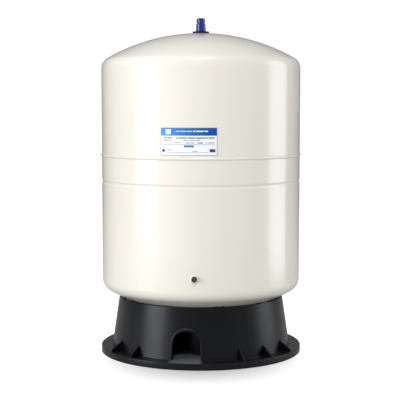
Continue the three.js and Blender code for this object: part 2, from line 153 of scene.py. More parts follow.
SHADE_AHEAD = 0.13  # metres from the tank's axis towards the camera, where the floor's painted shade is darkest
SHADE_NEAR = 0.09  # metres from there to where the floor begins to glow
SHADE_FAR = 0.3  # and to where it glows fully
SHADE_GLOW = 0.25  # its glow where it is darkest
DUST_AND_LIGHT_OUTSIDE = 0.05  # faint dust on up-facing faces away from the arches, as a share of the painted light between them
WORLD_CAST = 0.42  # the surroundings' brightness as they light the vessel
WORLD_MIRRORED = 0.25  # as they are mirrored in it
WORLD_SEEN = 1.05  # and as the camera sees them

ROUND = 256  # segments around the tank
SMALL_ROUND = 96  # segments around a fitting
TINY_ROUND = 48  # segments around a small turned piece


# ---- Mesh helpers ----


def fillet(corners, closed=True, steps=6):
    """The outline through (radius, height, rounding) corners, with an arc at each rounded one."""
    outline = []
    last = len(corners) - 1
    for i, (x, y, rounding) in enumerate(corners):
        here = Vector((x, y))
        if not rounding or (not closed and i in (0, last)):
            outline.append((x, y))
            continue
        back = Vector(corners[i - 1][:2]) - here
        ahead = Vector(corners[(i + 1) % len(corners)][:2]) - here
        half = back.angle(ahead) / 2
        reach = min(rounding / math.tan(half), 0.49 * min(back.length, ahead.length))
        radius = reach * math.tan(half)
        middle = (back.normalized() + ahead.normalized()).normalized()
        centre = here + middle * (radius / math.sin(half))
        start = here + back.normalized() * reach - centre
        turn = (here + ahead.normalized() * reach - centre).angle_signed(start)
        for k in range(steps + 1):
            spot = centre + Matrix.Rotation(turn * k / steps, 2) @ start
            outline.append((spot.x, spot.y))
    return outline


def new_piece(name, vertices, faces, smooth_degrees=32):
    """A mesh object from vertices in millimetres, smooth except at its sharper edges."""
    mesh = bpy.data.meshes.new(name)
    mesh.from_pydata([Vector(v) * MM for v in vertices], [], faces)
    mesh.update()
    piece = bpy.data.objects.new(name, mesh)
    bpy.context.scene.collection.objects.link(piece)
    shade(piece, smooth_degrees)
    return piece


def shade(piece, smooth_degrees=32):
    piece.data.shade_smooth()
    piece.data.set_sharp_from_angle(angle=math.radians(smooth_degrees))


ON_AXIS = 1e-6  # a radius below this is a point on the axis


def hold_flat(outline, reach=1.5):
    """Adds points near both ends of each long stretch, so that it looks flat up to its ends."""
    ends = outline[1:]
    if outline[0][0] > ON_AXIS:
        ends.append(outline[0])
    points = []
    for start, end in zip(outline, ends):
        points.append(start)
        stretch = Vector(end) - Vector(start)
        if stretch.length > 8 * reach:
            step = stretch.normalized() * reach
            points.append(tuple(Vector(start) + step))
            points.append(tuple(Vector(end) - step))
    if len(ends) < len(outline):
        points.append(outline[-1])
    return points


def revolve(name, outline, segments=ROUND, radius_at=None):
    """A closed solid about Z. Its outline runs counter-clockwise, with the radius to the right, from
    axis to axis or round on itself. radius_at(radius, angle, height) may change a point's radius."""
    vertices = []
    rings = []
    for radius, height in hold_flat(outline):
        if radius < ON_AXIS:
            rings.append([len(vertices)])
            vertices.append((0, 0, height))
            continue
        rings.append(range(len(vertices), len(vertices) + segments))
        for i in range(segments):
            angle = 2 * math.pi * i / segments
            r = radius_at(radius, angle, height) if radius_at else radius
            vertices.append((r * math.sin(angle), -r * math.cos(angle), height))
    if outline[0][0] > ON_AXIS:
        rings.append(rings[0])
    faces = []
    for low, high in zip(rings, rings[1:]):
        for i in range(segments):
            j = (i + 1) % segments
            around = (low[i % len(low)], low[j % len(low)], high[j % len(high)], high[i % len(high)])
            corners = list(dict.fromkeys(around))
            if len(corners) > 2:
                faces.append(corners)
    return new_piece(name, vertices, faces)


def prism(name, outline, low, high):
    """A solid with an outline in the X-Z plane, counter-clockwise, between two values of Y."""
    count = len(outline)
    vertices = [(x, y, z) for y in (low, high) for x, z in outline]
    faces = [list(range(count)), list(range(2 * count - 1, count - 1, -1))]
    for i in range(count):
        j = (i + 1) % count
        faces.append([j, i, i + count, j + count])
    return new_piece(name, vertices, faces)


def combine(piece, other, operation):
    """Joins another closed mesh to a piece, or cuts it away, and removes the other object."""
    modifier = piece.modifiers.new(operation, "BOOLEAN")
    modifier.operation = operation
    modifier.solver = "MANIFOLD"
    modifier.object = other
    depsgraph = bpy.context.evaluated_depsgraph_get()
    result = bpy.data.meshes.new_from_object(piece.evaluated_get(depsgraph))
    piece.modifiers.clear()
    piece.data = result
    bpy.data.objects.remove(other)
    shade(piece)


def round_edges(piece, width, segments=3, degrees=40):
    """Rounds a piece's sharper edges, in millimetres."""
    modifier = piece.modifiers.new("round", "BEVEL")
    modifier.width = width * MM
    modifier.segments = segments
    modifier.limit_method = "ANGLE"
    modifier.angle_limit = math.radians(degrees)
    depsgraph = bpy.context.evaluated_depsgraph_get()
    result = bpy.data.meshes.new_from_object(piece.evaluated_get(depsgraph))
    piece.modifiers.clear()
    piece.data = result
    shade(piece)


def move(piece, matrix):
    piece.data.transform(matrix)
    return piece


def turn(piece, degrees):
    return move(piece, Matrix.Rotation(math.radians(degrees), 4, "Z"))


def finish_piece(piece, body, slot, material, *nodes):
    """Gives a finished piece its material, its body and the CAD nodes it stands for. The slot is not
    used.
    """
    piece.data.materials.clear()
    piece.data.materials.append(material)
    if body:
        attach(piece, body)
    if nodes:
        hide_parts(*nodes)


def polar(bearing, distance, height):
    """A place round the vessel: degrees from the camera's side, positive to its right."""
    angle = math.radians(CAMERA_BEARING + bearing)
    return (distance * math.sin(angle), -distance * math.cos(angle), height)


# ---- Materials ----


class Look:
    """A Principled material under construction, with helpers for its procedural detail."""

    def __init__(self, name, color, roughness, **settings):
        self.material = bpy.data.materials.new(name)
        self.material.use_nodes = True
        self.nodes = self.material.node_tree.nodes
        self.links = self.material.node_tree.links
        self.shader = self.nodes["Principled BSDF"]
        self.shader.inputs["Base Color"].default_value = (*color, 1)
        self.shader.inputs["Roughness"].default_value = roughness
        for key, value in settings.items():
            self.shader.inputs[key.replace("_", " ")].default_value = value
        self.color = color
        self.place = self.nodes.new("ShaderNodeTexCoord").outputs["Object"]

    def noise(self, scale, detail=3, stretch=(1, 1, 1), roughness=0.55):
        """Noise in the object's own space; a scale of 1000 gives features of about a millimetre."""
        mapping = self.nodes.new("ShaderNodeMapping")
        mapping.inputs["Scale"].default_value = stretch
        texture = self.nodes.new("ShaderNodeTexNoise")
        texture.inputs["Scale"].default_value = scale
        texture.inputs["Detail"].default_value = detail
        texture.inputs["Roughness"].default_value = roughness
        self.links.new(self.place, mapping.inputs["Vector"])
        self.links.new(mapping.outputs["Vector"], texture.inputs["Vector"])
        return texture.outputs["Fac"]

    def parts(self, vector):
        """The X, Y and Z outputs of a vector."""
        node = self.nodes.new("ShaderNodeSeparateXYZ")
        self.links.new(vector, node.inputs["Vector"])
        return node.outputs

    def math(self, operation, *values):
        """The result of a math operation on other outputs."""
        node = self.nodes.new("ShaderNodeMath")
        node.operation = operation
        for value, socket in zip(values, node.inputs):
            self.links.new(value, socket)
        return node.outputs["Value"]

    def spread(self, factor, low, high, start=0.35, end=0.65):
        """Maps a noise factor onto a range of values."""
        node = self.nodes.new("ShaderNodeMapRange")
        node.inputs["From Min"].default_value = start
        node.inputs["From Max"].default_value = end
        node.inputs["To Min"].default_value = low
        node.inputs["To Max"].default_value = high
        self.links.new(factor, node.inputs["Value"])
        return node.outputs["Result"]

    def vary_color(self, factor, other, start=0.3, end=0.7):
        """Fades the base colour into another one by a factor."""
        ramp = self.nodes.new("ShaderNodeValToRGB")
        ramp.color_ramp.elements[0].position = start
        ramp.color_ramp.elements[1].position = end
        ramp.color_ramp.elements[0].color = (*self.color, 1)
        ramp.color_ramp.elements[1].color = (*other, 1)
        self.links.new(factor, ramp.inputs["Fac"])
        self.links.new(ramp.outputs["Color"], self.shader.inputs["Base Color"])

    def vary_roughness(self, factor, low, high):
        """Varies the roughness between two values by a factor."""
        self.links.new(self.spread(factor, low, high), self.shader.inputs["Roughness"])

    def bump(self, factor, depth, strength=1.0):
        """Raises the surface by up to `depth` millimetres, on top of any earlier bump."""
        node = self.nodes.new("ShaderNodeBump")
        node.inputs["Distance"].default_value = depth * MM
        node.inputs["Strength"].default_value = strength
        self.links.new(factor, node.inputs["Height"])
        normal = self.shader.inputs["Normal"]
        if normal.is_linked:
            self.links.new(normal.links[0].from_socket, node.inputs["Normal"])
        self.links.new(node.outputs["Normal"], normal)


def cream_paint():
    """Glossy enamel with a faint orange peel and a little unevenness in tone."""
    look = Look("cream_paint", (0.745, 0.72, 0.655), 0.24, Coat_Weight=1, Coat_Roughness=0.1)
    look.vary_color(look.noise(5, detail=3), (0.737, 0.711, 0.643))
    look.vary_roughness(look.noise(14, detail=5), 0.22, 0.27)
    look.bump(look.noise(260, detail=2), 0.006)
    look.bump(look.noise(18, detail=1), 0.03)
    return look.material


def stand_plastic():
    """Black moulded polypropylene with a fine grain. Faces that look up are made paler: a faint dust
    away from the arches, and between the two arches a painted pool of light on the floor inside them."""
    look = Look("stand_plastic", (0.0012, 0.0012, 0.002), 0.33, Specular_IOR_Level=0.48)
    look.shader.inputs["Specular Tint"].default_value = (0.87, 0.9, 1, 1)
    look.vary_roughness(look.noise(30, detail=6), 0.3, 0.36)
    look.bump(look.noise(1400, detail=2), 0.006)
    look.bump(look.noise(14, detail=1), 0.05)

    # Painted light: up-facing faces between the arches are paled to stand for the light falling
    # through each arch onto the floor; elsewhere the same paling is a faint dust.
    geometry = look.nodes.new("ShaderNodeNewGeometry")
    facing = look.parts(geometry.outputs["Normal"])
    place = look.parts(look.place)
    level = look.spread(facing["Z"], 0, 1, 0.8, 1)
    aside = look.math("ABSOLUTE", place["X"])
    arch_light = look.spread(aside, 1, DUST_AND_LIGHT_OUTSIDE, ARCH_SPRING_HALF * MM, 1.3 * ARCH_SPRING_HALF * MM)
    patchy = look.spread(look.noise(40, detail=6), 0.75, 1)
    dust_and_light = look.math("MULTIPLY", look.math("MULTIPLY", level, arch_light), patchy)
    look.vary_color(dust_and_light, (0.15, 0.155, 0.17), 0, 1)
    return look.material


def blue_plastic():
    look = Look("blue_plastic", (0.001, 0.017, 0.15), 0.14, Coat_Weight=1, Coat_Roughness=0.1)
    look.vary_color(look.noise(120, detail=4), (0.003, 0.023, 0.19))
    look.vary_roughness(look.noise(300, detail=4), 0.12, 0.2)
    look.bump(look.noise(900, detail=2), 0.02)
    return look.material


def rubber(name, color, roughness):
    look = Look(name, color, roughness)
    look.vary_color(look.noise(40, detail=6), tuple(1.8 * c for c in color))
    look.vary_roughness(look.noise(90, detail=5), roughness - 0.08, roughness + 0.08)
    look.bump(look.noise(1500, detail=3), 0.03)
    return look.material


def valve_cap_plastic():
    look = Look("valve_cap_plastic", (0.03, 0.028, 0.025), 0.42)
    look.vary_color(look.noise(200, detail=4), (0.045, 0.042, 0.038))
    look.bump(look.noise(2500, detail=2), 0.015)
    return look.material


def metal(name, color, roughness, stretch):
    """A turned or rolled metal, with fine marks drawn out along one direction."""
    look = Look(name, color, roughness, Metallic=1.0)
    look.vary_color(look.noise(60, detail=5), tuple(0.86 * c for c in color))
    marks = look.noise(700, detail=4, stretch=stretch)
    look.vary_roughness(marks, roughness - 0.07, roughness + 0.1)
    look.bump(marks, 0.012)
    return look.material


def liner_plastic():
    look = Look("liner_plastic", (0.7, 0.71, 0.68), 0.45, Subsurface_Weight=0.1)
    look.vary_color(look.noise(7, detail=5), (0.64, 0.65, 0.6))
    look.bump(look.noise(500, detail=3), 0.03)
    return look.material


def label_film():
    look = Look("label_film", (0.8, 0.83, 0.88), 0.3, Coat_Weight=0.2, Coat_Roughness=0.15)
    look.vary_color(look.noise(60, detail=5), (0.76, 0.79, 0.84))
    look.bump(look.noise(120, detail=2), 0.02)
    return look.material


def label_header_ink():
    """Printed blue that deepens from the left of the label to its right."""
    look = Look("label_header_ink", (0.05, 0.26, 0.68), 0.3, Coat_Weight=0.2, Coat_Roughness=0.15)
    half = LABEL_WIDE / 2 * MM
    across = look.spread(look.parts(look.place)["X"], 0, 1, -half, half)
    look.vary_color(across, (0.002, 0.065, 0.34), 0.15, 0.9)
    look.bump(look.noise(400, detail=2), 0.01)
    return look.material


def label_ink(name, color):
    look = Look(name, color, 0.4)
    look.vary_color(look.noise(900, detail=4), tuple(min(1.35 * c, 0.95) for c in color))
    look.bump(look.noise(1200, detail=2), 0.008)
    return look.material


def floor_look():
    """White paper that runs into the white behind. Its glow is only for the camera to see, and it
    fades round a spot in front of the stand: a painted shade there, on top of the floor's real shadow.
    """
    look = Look("floor", (0.45, 0.45, 0.45), 0.6)
    look.shader.inputs["Emission Color"].default_value = (1, 1, 1, 1)
    look.vary_color(look.noise(2, detail=4), (0.44, 0.44, 0.44))
    # Painted shade: the glow dims towards a spot in front of the stand.
    distance = look.nodes.new("ShaderNodeVectorMath")
    distance.operation = "DISTANCE"
    look.links.new(look.place, distance.inputs[0])
    distance.inputs[1].default_value = polar(0, SHADE_AHEAD, 0)
    glow = look.spread(distance.outputs["Value"], SHADE_GLOW, 1, SHADE_NEAR, SHADE_FAR)
    path = look.nodes.new("ShaderNodeLightPath")
    seen = look.math("MULTIPLY", glow, path.outputs["Is Camera Ray"])
    look.links.new(seen, look.shader.inputs["Emission Strength"])
    return look.material


PAINT = cream_paint()
STAND = stand_plastic()
BLUE = blue_plastic()
BUTYL = rubber("butyl_rubber", (0.016, 0.016, 0.017), 0.62)
SEAL = rubber("seal_rubber", (0.008, 0.008, 0.009), 0.55)
VALVE_CAP = valve_cap_plastic()
ZINC = metal("zinc_steel", (0.5, 0.52, 0.54), 0.36, (1, 1, 8))
STAINLESS = metal("stainless", (0.58, 0.59, 0.6), 0.26, (1, 1, 12))
SPRING = metal("spring_steel", (0.36, 0.37, 0.38), 0.3, (1, 1, 1))
BRASS = metal("brass", (0.62, 0.42, 0.14), 0.28, (1, 1, 10))
LINER = liner_plastic()
FILM = label_film()


# ---- The tank ----

BLEND = math.asin((TANK_RADIUS - KNUCKLE) / (CROWN - KNUCKLE))
DISH_DEPTH = CROWN - (CROWN - KNUCKLE) * math.cos(BLEND)


def dished_end(inset, hole=0.0, knuckle_steps=12, crown_steps=30):
    """(radius, depth below the outer crown) from the straight side to the hole or the axis."""
    points = []
    for i in range(knuckle_steps):
        angle = math.pi / 2 + (BLEND - math.pi / 2) * i / knuckle_steps
        radius = KNUCKLE - inset
        points.append(
            (
                TANK_RADIUS - KNUCKLE + radius * math.sin(angle),
                DISH_DEPTH - radius * math.cos(angle),
            )
        )
    last = math.asin(hole / (CROWN - inset))
    for i in range(crown_steps + 1):
        angle = BLEND + (last - BLEND) * i / crown_steps
        radius = CROWN - inset
        points.append((radius * math.sin(angle), CROWN - radius * math.cos(angle)))
    return points


def top_dish(inset, hole=0.0, drop=0.0):
    return [(r, TANK_TOP - drop - depth) for r, depth in dished_end(inset, hole)]


def bottom_dish(inset):
    return [(r, TANK_BOTTOM + depth) for r, depth in dished_end(inset)]


def underside_at(radius):
    """The height of the tank's lower end, within its crown."""
    return TANK_BOTTOM + CROWN - math.sqrt(CROWN**2 - radius**2)


def groove(inset, steps=12):
    """The rolled groove from its top down: a smooth hollow in the straight side."""
    points = []
    for i in range(steps + 1):
        share = i / steps
        hollow = GROOVE_DEPTH * math.sin(math.pi * share) ** GROOVE_POWER
        points.append((TANK_RADIUS - inset - hollow, GROOVE_HEIGHT + GROOVE_MOUTH * (0.5 - share)))
    return points


def upper_shell():
    low = SEAM + GAP
    side = TANK_RADIUS
    outline = [
        *reversed(top_dish(TANK_WALL, NIPPLE_HOLE)),
        (side - TANK_WALL, low),
        (side, low),
        *top_dish(0, NIPPLE_HOLE),
    ]
    piece = revolve("tank_upper_shell", outline)
    finish_piece(piece, "vessel", "cream_paint", PAINT, "upper_shell")


def valve_frame():
    """Places what is drawn about Z on the tank's side, pointing outwards at the air valve."""
    foot = Vector((0, -TANK_RADIUS * MM, VALVE_CENTRE.z))
    return (
        Matrix.Rotation(VALVE_BEARING, 4, "Z")
        @ Matrix.Translation(foot)
        @ Matrix.Rotation(math.pi / 2, 4, "X")
    )


def lower_shell():
    top = SEAM - GAP
    outline = [
        *reversed(bottom_dish(0)),
        *reversed(groove(0)),
        (TANK_RADIUS, top),
        (TANK_RADIUS - TANK_WALL, top),
        *groove(TANK_WALL),
        *bottom_dish(TANK_WALL),
    ]
    piece = revolve("tank_lower_shell", outline)
    hole_radius = BOSS_RADIUS + GAP / 2
    reach = 30
    hole_outline = [(0, -reach), (hole_radius, -reach), (hole_radius, reach), (0, reach)]
    hole = revolve("boss_hole", hole_outline, SMALL_ROUND)
    combine(piece, move(hole, valve_frame()), "DIFFERENCE")
    finish_piece(piece, "vessel", "cream_paint", PAINT, "lower_shell")


def girth_bead():
    """The weld bead between the shells, painted over, with the slight waves of a machine weld."""
    steps = 14
    inner = TANK_RADIUS + 0.05
    outline = [(inner, SEAM - BEAD_TALL / 2)]
    for i in range(1, steps):
        share = i / steps
        bulge = BEAD_PROUD * math.sin(math.pi * share) ** BEAD_POWER
        outline.append((TANK_RADIUS + bulge, SEAM + BEAD_TALL * (share - 0.5)))
    outline.append((inner, SEAM + BEAD_TALL / 2))

    def ripple(radius, angle, _height):
        wave = sum(tall * math.sin(count * angle) for tall, count in BEAD_WAVES)
        return radius + wave * (radius - TANK_RADIUS) / BEAD_PROUD

    piece = revolve("girth_bead", outline, 4 * ROUND, ripple)
    finish_piece(piece, "vessel", "cream_paint", PAINT, "girth_weld_bead")


# ---- The label ----


def label_patch(name, patches, lift, thick):
    """Slabs that lie along the tank's side. A patch is (left, right, top, bottom) as shares of the
    label, measured from its top left corner."""
    vertices = []
    faces = []
    for left, right, top, bottom in patches:
        columns = max(2, round(24 * (right - left)) + 1)
        base = len(vertices)
        for i in range(columns):
            share = left + (right - left) * i / (columns - 1)
            bearing = math.radians(LABEL_BEARING) + (share - 0.5) * LABEL_WIDE / TANK_RADIUS
            for height in (bottom, top):
                z = LABEL_HIGH + (LABEL_LOW - LABEL_HIGH) * height
                for radius in (TANK_RADIUS + lift, TANK_RADIUS + lift + thick):
                    vertices.append((radius * math.sin(bearing), -radius * math.cos(bearing), z))
        for i in range(columns - 1):
            a, b = base + 4 * i, base + 4 * i + 4
            faces += [[a + 1, b + 1, b + 3, a + 3], [b, a, a + 2, b + 2]]
            faces += [[a, b, b + 1, a + 1], [b + 2, a + 2, a + 3, b + 3]]
        end = base + 4 * columns - 4
        faces += [[base, base + 1, base + 3, base + 2], [end + 1, end, end + 2, end + 3]]
    return new_piece(name, vertices, faces)


def dashes(left, right, top, bottom, words, gap=0.012):
    """A row of bars that stands for a printed line, with the words' relative lengths."""
    scale = (right - left - gap * (len(words) - 1)) / sum(words)
    row = []
    for word in words:
        row.append((left, left + word * scale, top, bottom))
        left += word * scale + gap
    return row


def print_label(name, patches, ink, lift=INK_LIFT):
    """A layer of print on the label's film."""
    layer = label_patch(name, patches, lift, INK_THICK)
    finish_piece(layer, "vessel", "label_film", ink)


def label():
    """The label's film and its print: a header, bars for the printed lines, and a few blocks."""
    sheet = label_patch("label_sheet", [(0, 1, 0, 1)], FILM_LIFT, FILM_THICK)
    finish_piece(sheet, "vessel", "label_film", FILM, "data_label")
    print_label("label_header", [(0.008, 0.992, 0.012, 0.285)], label_header_ink())

    pale_rows = [
        (0.09, 0.185, 0.055, 0.235),
        *dashes(0.28, 0.56, 0.115, 0.145, [3, 5, 4]),
        *dashes(0.58, 0.84, 0.105, 0.15, [2, 6, 3]),
    ]
    pale_ink = label_ink("label_pale_ink", (0.55, 0.74, 0.88))
    print_label("label_header_bars", pale_rows, pale_ink, INK_LIFT + 0.03)

    frame_rows = [
        (0, 1, 0, 0.012),
        (0, 1, 0.985, 1),
        (0, 0.006, 0.012, 0.985),
        (0.994, 1, 0.012, 0.985),
    ]
    grey_rows = [
        *dashes(0.06, 0.2, 0.345, 0.39, [3, 4]),
        *dashes(0.28, 0.95, 0.345, 0.395, [2, 7, 6, 8, 2, 5]),
        *dashes(0.06, 0.2, 0.435, 0.465, [5, 2]),
        *dashes(0.41, 0.7, 0.437, 0.462, [4, 5, 3]),
        *dashes(0.26, 0.36, 0.52, 0.55, [3, 2]),
        *dashes(0.45, 0.6, 0.53, 0.56, [4, 3]),
        *dashes(0.65, 0.745, 0.525, 0.57, [1, 4]),
        *dashes(0.8, 0.95, 0.53, 0.56, [1, 6]),
        (0.03, 0.95, 0.598, 0.61),
        *dashes(0.12, 0.2, 0.79, 0.82, [3, 2]),
        *dashes(0.57, 0.65, 0.84, 0.87, [2, 3]),
        (0.1, 0.84, 0.884, 0.896),
        *frame_rows,
    ]
    print_label("label_text_bars", grey_rows, label_ink("label_grey_ink", (0.15, 0.17, 0.22)))

    dark_blocks = [(0.03, 0.078, 0.775, 0.875), (0.866, 0.966, 0.77, 0.88)]
    dark_ink = label_ink("label_dark_ink", (0.04, 0.045, 0.055))
    print_label("label_dark_blocks", dark_blocks, dark_ink)

    blue_block = [(0.42, 0.595, 0.63, 0.705)]
    print_label("label_blue_block", blue_block, label_ink("label_blue_ink", (0.06, 0.16, 0.36)))


# ---- The water side ----


def thread(pitch, depth, low, high):
    """For revolve: cuts a screw thread into the points between two heights."""

    def radius_at(radius, angle, height):
        if not low < height < high:
            return radius
        fade = min(1, (height - low) / pitch, (high - height) / pitch)
        turn_share = (height / pitch - angle / (2 * math.pi)) % 1
        return radius - depth * fade * abs(2 * turn_share - 1)

    return radius_at


def climb(radius, low, high, pitch, steps_per_turn=8):
    """Closely spaced points up a straight stretch, for a thread to be cut into."""
    count = round((high - low) / pitch * steps_per_turn)
    return [(radius, low + (high - low) * i / count) for i in range(count + 1)]


def water_nipple():
    """The threaded connection, with a wide flange inside the tank."""
    bore, outside, flange = 4.8, 8, 18
    flange_top = NIPPLE_LOW + 3.2
    pitch, thread_depth = 1.34, 0.75
    thread_low, thread_high = WASHER_HIGH, NIPPLE_HIGH - 0.8
    flange_corners = [
        (bore, NIPPLE_LOW, 0),
        (flange, NIPPLE_LOW, 0.6),
        (flange, flange_top, 0.6),
    ]
    outline = [
        *fillet(flange_corners, closed=False),
        (flange - 0.6, flange_top),
        (outside + 0.5, flange_top),
        (outside, flange_top + 0.5),
        *climb(outside, thread_low, thread_high, pitch),
        (outside - 0.8, NIPPLE_HIGH),
        (bore + 0.4, NIPPLE_HIGH),
        (bore, NIPPLE_HIGH - 0.4),
    ]
    cut = thread(pitch, thread_depth, thread_low, thread_high)
    piece = revolve("water_connection", outline, SMALL_ROUND, cut)
    finish_piece(piece, "vessel", "stainless", STAINLESS, "water_nipple")


def nipple_washer():
    inner, outer = 8.3, 17.25
    corners = [
        (inner, WASHER_LOW, 0.3),
        (outer, WASHER_LOW, 0.9),
        (outer, WASHER_HIGH, 0.9),
        (inner, WASHER_HIGH, 0.3),
    ]
    piece = revolve("connection_washer", fillet(corners), SMALL_ROUND)
    finish_piece(piece, "vessel", "seal_rubber", SEAL, "nipple_washer")


def nipple_cap():
    """The blue screw cap: a lipped foot, a slightly tapered body, a waist and a rounded grip."""
    bore, foot, body, neck, grip = 8.4, 10.5, 9.5, 7.9, 9
    bore_top = CAP_LOW + 13.6
    waist = CAP_LOW + 16.8
    corners = [
        (0, bore_top, 0),
        (bore, bore_top, 0.8),
        (bore, CAP_LOW, 0.3),
        (foot, CAP_LOW, 0.5),
        (foot, CAP_LOW + 1.6, 0.5),
        (body + 0.6, CAP_LOW + 2.0, 0.3),
        (body, waist - 1.6, 0.9),
        (neck, waist - 0.6, 0.7),
        (neck, waist + 0.6, 0.7),
        (grip, waist + 1.6, 0.8),
        (grip - 0.3, CAP_HIGH - 2.6, 2.4),
        (grip - 2.8, CAP_HIGH, 2.6),
        (0, CAP_HIGH, 0),
    ]
    piece = revolve("connection_cap", fillet(corners, closed=False), SMALL_ROUND)
    finish_piece(piece, "nipple_cap", "blue_plastic", BLUE, "nipple_cap")


def water_liner():
    """The moulded liner that keeps the water off the upper shell."""
    hole = NIPPLE_HOLE - 0.2
    side = TANK_RADIUS - LINER_INSET
    outline = [
        *reversed(top_dish(LINER_INSET + LINER_WALL, hole)),
        (side - LINER_WALL, LINER_BOTTOM),
        (side, LINER_BOTTOM),
        *top_dish(LINER_INSET, hole),
    ]
    piece = revolve("liner", outline)
    finish_piece(piece, "vessel", "liner_plastic", LINER, "water_liner")


def diaphragm():
    """The butyl cup, with its bead in the clamp."""
    side = TANK_RADIUS - DIAPHRAGM_INSET
    drop = DIAPHRAGM_DROP
    rows = 20
    wall_top = top_dish(DIAPHRAGM_INSET, 0, drop)[0][1]
    rise = [CLAMP_HIGH + (wall_top - CLAMP_HIGH) * i / rows for i in range(1, rows)]
    outline = [
        *reversed(top_dish(DIAPHRAGM_INSET + DIAPHRAGM_WALL, 0, drop)),
        *[(side - DIAPHRAGM_WALL, z) for z in reversed(rise)],
        (side - DIAPHRAGM_WALL, CLAMP_HIGH),
        (side - DIAPHRAGM_BEAD, CLAMP_HIGH - DIAPHRAGM_WALL),
        (side - DIAPHRAGM_BEAD, CLAMP_LOW),
        (side, CLAMP_LOW),
        *[(side, z) for z in rise],
        *top_dish(DIAPHRAGM_INSET, 0, drop),
    ]
    piece = revolve("diaphragm_cup", outline)
    finish_piece(piece, None, "butyl_rubber", BUTYL, "diaphragm")
    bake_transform(piece)


def clench_ring():
    """The steel ring that clamps the diaphragm's bead at the groove."""
    outer = TANK_RADIUS - DIAPHRAGM_INSET - DIAPHRAGM_BEAD - GAP
    inner = outer - 1.9
    corners = [
        (inner, CLAMP_LOW, 0.5),
        (outer, CLAMP_LOW, 0.5),
        (outer, CLAMP_HIGH + 3, 0.5),
        (inner, CLAMP_HIGH + 3, 0.5),
    ]
    piece = revolve("clamp_ring", fillet(corners))
    finish_piece(piece, "vessel", "zinc_steel", ZINC, "clench_ring")


def seal_ring(name, node, radius, section, height, matrix=None):
    """A rubber ring of round section."""
    steps = 16
    outline = []
    for i in range(steps):
        angle = 2 * math.pi * i / steps
        outline.append((radius + section * math.cos(angle), height + section * math.sin(angle)))
    piece = revolve(name, outline, SMALL_ROUND)
    if matrix:
        move(piece, matrix)
    finish_piece(piece, "vessel", "seal_rubber", SEAL, node)


# ---- The air valve, drawn about Z with heights counted outwards from the tank's side ----

BOSS_RADIUS = 7
BOSS_OUTER = 2.6


def valve_boss():
    """The welded boss, with a painted weld fillet where it meets the tank."""
    bore, mouth, mouth_floor, inner_end = 4.6, 5.4, 1.2, -14
    corners = [
        (bore, inner_end, 0),
        (BOSS_RADIUS, inner_end, 0),
        (BOSS_RADIUS, -1.7, 0),
        (BOSS_RADIUS + 2.6, -0.9, 0),
        (BOSS_RADIUS + 1.6, 0.55, 0.8),
        (BOSS_RADIUS, 1.3, 0.8),
        (BOSS_RADIUS, BOSS_OUTER, 0.5),
        (mouth, BOSS_OUTER, 0.2),
        (mouth, mouth_floor, 0),
        (bore, mouth_floor, 0),
    ]
    piece = revolve("valve_boss", fillet(corners), SMALL_ROUND)
    move(piece, valve_frame())
    finish_piece(piece, "vessel", "cream_paint", PAINT, "air_valve_boss")


def valve_stem():
    """The brass stem: its root sits in the boss, and its thread carries the cap."""
    inner_end, bore_floor, shoulder, end = -13, -11, 0.9, 9
    throat, bore, outside, root = 1.2, 2.6, 3.85, 4.3
    pitch, thread_depth = 0.79, 0.42
    thread_low, thread_high = 2.8, end - 0.5
    outline = [
        (throat, inner_end),
        (root, inner_end),
        (root, shoulder),
        (outside, shoulder),
        *climb(outside, thread_low, thread_high, pitch),
        (outside - 0.5, end),
        (bore + 0.2, end),
        (bore, end - 0.2),
        (bore, bore_floor),
        (throat, bore_floor),
    ]
    cut = thread(pitch, thread_depth, thread_low, thread_high)
    piece = revolve("valve_stem", outline, SMALL_ROUND, cut)
    move(piece, valve_frame())
    finish_piece(piece, "vessel", "brass", BRASS, "air_valve_stem")


def valve_seal():
    seal_ring("valve_seal", "air_valve_seal", 4.625, 0.4, 1.9, valve_frame())


def valve_cap():
    """The dark screw cap, fluted round its side for the fingers."""
    low, high, bore, side = 2.9, 11.3, 4.15, 5
    bore_top = low + 6.7
    flutes, flute_depth = 24, 0.28
    flute_low, flute_high = low + 0.9, high - 1.6
    corners = [
        (0, bore_top, 0),
        (bore, bore_top, 0.3),
        (bore, low, 0.15),
        (side - 0.15, low, 0.2),
        (side, low + 0.6, 0.2),
        (side, low + 0.8, 0),
    ]
    outline = fillet(corners, closed=False, steps=4)
    outline += [(side, flute_low + 0.4 * i) for i in range(15)]
    outline += fillet([(side, flute_high, 0), (side, high, 1.3), (0, high, 0)], closed=False)[1:]

    def flute(radius, angle, height):
        if radius < side - 0.1 or not flute_low <= height <= flute_high:
            return radius
        return radius - flute_depth * math.sin(flutes / 2 * angle) ** 2

    piece = revolve("valve_cap", outline, 2 * SMALL_ROUND, flute)
    move(piece, valve_frame())
    finish_piece(piece, "air_valve_cap", "valve_cap_plastic", VALVE_CAP, "air_valve_cap")


def core_body():
    """The brass sleeve that screws into the stem, with a slot across its outer end."""
    low, high, ledge = -6, 8.2, -2
    throat, bore, outside = 0.9, 1.5, 2.3
    corners = [
        (throat, low, 0.1),
        (outside, low, 0.2),
        (outside, high, 0.25),
        (bore, high, 0.2),
        (bore, ledge, 0),
        (throat, ledge, 0),
    ]
    body = revolve("core_body", fillet(corners), TINY_ROUND)
    slot_half, reach = 0.35, 3
    slot_outline = [(-slot_half, -reach), (slot_half, -reach), (slot_half, reach), (-slot_half, reach)]
    slot = prism("core_slot", slot_outline, high - 1, high + 0.8)
    move(slot, Matrix.Rotation(math.pi / 2, 4, "X") @ Matrix.Rotation(math.pi, 4, "X"))
    combine(body, slot, "DIFFERENCE")
    move(body, valve_frame())
    finish_piece(body, "vessel", "brass", BRASS, "valve_core_body")


